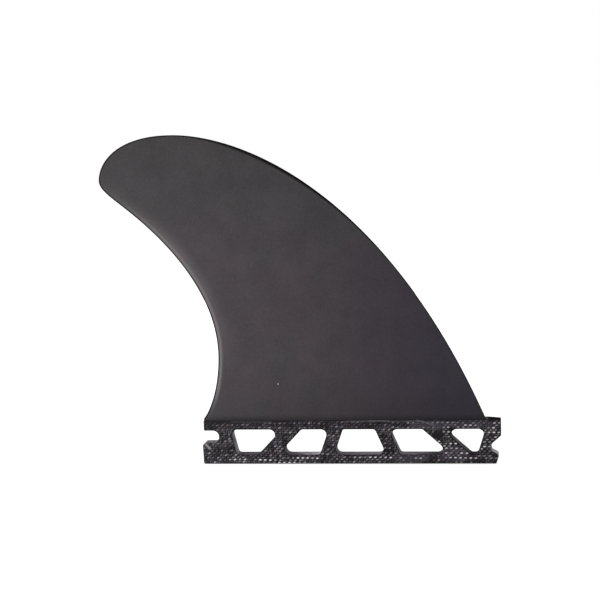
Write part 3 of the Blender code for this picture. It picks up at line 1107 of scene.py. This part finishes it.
    def yarn_height(self, warp: Array, weft: Array) -> Array:
        """Find the cloth's height.

        Args:
            warp: the warp counts.
            weft: the weft counts.

        Returns:
            0 in the gaps and up to the swing and the crown together.
        """
        tops = []
        for along, across, first in ((weft, warp, 1.0), (warp, weft, -1.0)):
            yarn = np.round(across)
            run = first * np.cos(math.pi * along) * np.where(yarn % 2 == 0, 1.0, -1.0)
            tops.append(self.yarn_swing * run + self.yarn_crown * (1.0 - 4.0 * (across - yarn) ** 2))
        return np.maximum(*tops)

    def skin_share(self, x: Array, z: Array) -> Array:
        """Find where the mill left the moulded skin along the tab's head.

        Args:
            x: places along the tab.
            z: places up the tab.

        Returns:
            1 on the skin and 0 on the cloth.
        """
        band = smooth_step(*self.skin_band, x)
        wave = sum(swing * np.sin(x / length + start) for swing, length, start in self.skin_waves)
        edge = self.height - self.skin_depth - self.skin_band_depth * band + wave
        return smooth_step(-self.skin_blur, self.skin_blur, z - edge)

    def rim_distance(self, piece: Piece, places: Array) -> Array:
        """Return how far each vertex is from the nearest cut edge, seen square on."""
        walls = (face.vertices for face in piece.data.polygons if abs(face.normal.y) < self.wall_turn)
        return distances(places[sorted({corner for wall in walls for corner in wall}), ::2], places[:, ::2])

    def worn_share(self, x: Array, z: Array, seen: Array) -> Array:
        """Return how much bare glass and painted glint each place shows, with the patches turned round on
        the outer face.
        """
        inner, other = (np.clip(covered(self.worn, run, z), 0.0, 1.0) for run in (x, -self.outer_wear * x))
        return inner * seen + self.outer_wear * other * (1.0 - seen)

    def press_cloth(self, piece: Piece) -> None:
        """Press the cloth, the rims and the scratches into both faces, and store where each look shows.

        Args:
            piece: the tab, cut to shape.
        """
        places = coordinates(piece)
        rim = self.rim_distance(piece, places)
        x, y, z = places.T
        outer = (y > 0.0).astype(float)
        seen = 1.0 - outer
        warp, weft = self.weave_place(x, z, outer)
        skin = self.skin_share(x, z)
        resin = np.clip(covered(self.resin_rich, x, z), 0.0, 1.0) * seen
        smooth = np.maximum(skin, resin)
        full = self.yarn_swing + self.yarn_crown
        sunk = (full - self.yarn_height(warp, weft)) * (1.0 - smooth)
        sunk = sunk + self.resin_level * full * smooth * (1.0 - skin)
        sunk = sunk + self.rim_drop * (1.0 - smooth_step(0.0, self.rim_round, rim))
        pale = np.zeros(len(places))
        for scratch in self.scratches:
            share = scratch.share(x, z) * seen
            sunk = sunk + scratch.depth * share
            pale = np.maximum(pale, scratch.paleness * share)
        on_face = np.abs(np.abs(y) - self.thickness / 2) < self.tolerance
        film = self.film_share * smooth_step(*self.film_run, x) * smooth_step(*self.film_rise, z)
        line = self.rim_line + self.rim_head_line * np.exp(-((z - self.window_head) / MM) ** 2)
        dark = self.rim_share * (1.0 - smooth_step(self.rim_core * line, line, rim))
        write_attributes(
            piece,
            weave=np.stack((warp, weft, outer), axis=1),
            worn=self.worn_share(x, z, seen),
            skin=np.maximum(np.maximum(skin, self.resin_share * resin), film),
            pale=pale,
            milky=np.clip(covered(self.milky, x, z), 0.0, self.most_milky) * seen,
            rim=dark * (1.0 - skin),
            seam=np.full(len(places), self.no_seam),
            bareness=self.bare_wall + covered(self.bare_walls, x, z),
        )
        places[:, 1] = np.where(on_face, y - np.sign(y) * sunk, y)
        move_vertices(piece, places)

    def build(self, woven: Material, cut: Material, coat: Material) -> Piece:
        """Cut the gridded slab to the tab's shape and press the cloth into its faces.

        Args:
            woven: the finish of both faces.
            cut: the finish of the router-cut walls.
            coat: the finish of the moulded top.

        Returns:
            The finished piece.
        """
        piece = self.slab()
        keep_inside(piece, self.cut_shape())
        self.press_cloth(piece)
        self.dress(piece, (woven, cut, coat))
        return piece

    def dress(self, piece: Piece, finishes: Sequence[Material]) -> None:
        """Give each face its finish by the way it points, and shade the faces.

        Args:
            piece: the tab.
            finishes: the woven, the cut and the moulded finish.
        """
        piece.data.materials.clear()
        for finish in finishes:
            piece.data.materials.append(finish)
        for face in piece.data.polygons:
            kind = WallKind.WOVEN
            if abs(face.normal.y) < self.wall_turn:
                on_top = face.normal.z > self.top_turn and face.center.z > self.height - MM
                kind = WallKind.MOULDED if on_top else WallKind.CUT
            face.material_index = kind.value
        make_active(piece)
        bpy.ops.object.shade_smooth_by_angle(angle=self.sharp_angle)
        weights = piece.modifiers.new("weights", "WEIGHTED_NORMAL")
        weights.keep_sharp = True
        bpy.ops.object.modifier_apply(modifier=weights.name)


@dataclass(frozen=True)
class Lamp:
    """One soft rectangular lamp that faces the fin."""

    name: str
    place: Triple
    aim: Triple
    width: float
    height: float
    power: float

    def build(self) -> None:
        """Hang the lamp and turn it to its aim."""
        light = bpy.data.lights.new(self.name, "AREA")
        light.shape = "RECTANGLE"
        light.size = self.width
        light.size_y = self.height
        light.energy = self.power
        item = bpy.data.objects.new(self.name, light)
        item.visible_camera = False
        item.location = self.place
        item.rotation_euler = (Vector(self.aim) - Vector(self.place)).to_track_quat("-Z", "Y").to_euler()
        bpy.context.scene.collection.objects.link(item)


@dataclass
class Studio:
    """A pale floor, soft lamps and the photograph's point of view."""

    azimuth: float = math.radians(7.204)
    elevation: float = math.radians(5.935)
    roll: float = math.radians(-1.471)
    distance: float = 660.0 * MM
    aim: Triple = (-18.745 * MM, 0.0, 63.062 * MM)
    focal_pixels: float = 1722.046
    image_pixels: float = 600.0
    sensor: float = 36.0
    floor_size: float = 6.0
    floor_gap: float = 0.2 * MM
    floor_steps: int = 8
    sky: Colour = (1.0, 1.0, 1.0)
    sky_light: float = 0.42
    lamps: Tuple[Lamp, ...] = (
        Lamp("key", (-0.22, -0.20, 0.06), (-0.05, 0.0, 0.05), 0.10, 0.12, 0.42),
        Lamp("back", (-0.12, 0.62, 0.10), (-0.02, 0.0, 0.06), 1.3, 0.5, 3.6),
    )

    def build_camera(self) -> None:
        """Stand the camera where the photograph was taken from."""
        back = Vector((math.sin(self.azimuth) * math.cos(self.elevation),
                       -math.cos(self.azimuth) * math.cos(self.elevation), math.sin(self.elevation)))
        right = Vector((math.cos(self.azimuth), math.sin(self.azimuth), 0.0))
        up = back.cross(right)
        turned_right = math.cos(self.roll) * right + math.sin(self.roll) * up
        turned_up = -math.sin(self.roll) * right + math.cos(self.roll) * up
        camera = bpy.data.cameras.new("camera")
        camera.sensor_width = self.sensor
        camera.lens = self.sensor * self.focal_pixels / self.image_pixels
        item = bpy.data.objects.new("camera", camera)
        turn = Matrix((turned_right, turned_up, back)).transposed().to_4x4()
        item.matrix_world = Matrix.Translation(Vector(self.aim) + back * self.distance) @ turn
        bpy.context.scene.collection.objects.link(item)
        bpy.context.scene.camera = item

    def build_floor(self) -> None:
        """Lay the floor just under the tab's foot."""
        deselect_all()
        bpy.ops.mesh.primitive_grid_add(x_subdivisions=self.floor_steps, y_subdivisions=self.floor_steps,
                                        size=self.floor_size, location=(0.0, 0.0, -self.floor_gap))
        floor = bpy.context.active_object
        floor.name = "floor"
        bpy.ops.object.transform_apply()
        floor.data.materials.append(PaleFloor().build())

    def build_sky(self) -> None:
        """Light the room evenly, and show white behind the fin."""
        world = bpy.data.worlds.new("studio")
        world.use_nodes = True
        bpy.context.scene.world = world
        graph = Graph(world.node_tree)
        backdrop = world.node_tree.nodes["Background"].inputs
        graph.feed(backdrop["Color"], self.sky)
        graph.feed(backdrop["Strength"], graph.fit(graph.seen_directly(), 0.0, 1.0, self.sky_light, 1.0))

    def build(self) -> None:
        """Set the whole studio."""
        bpy.context.scene.view_settings.view_transform = "Standard"
        self.build_sky()
        self.build_floor()
        for lamp in self.lamps:
            lamp.build()
        self.build_camera()


def main() -> None:
    """Build the pieces of the fin and its studio."""
    logging.basicConfig(level=logging.INFO, format="%(message)s")
    coat = MouldedCoat().build()
    ledge = MouldedCoat(name="ledge_skin", roughness=0.8, specular=0.0).build()
    tab = Tab().build(WovenLaminate().build(), CutGlass().build(), ledge)
    finish_piece(tab, "fin")
    blade = Blade().build(coat)
    finish_piece(blade, "fin")
    Studio().build()


if __name__ == "__main__":
    main()
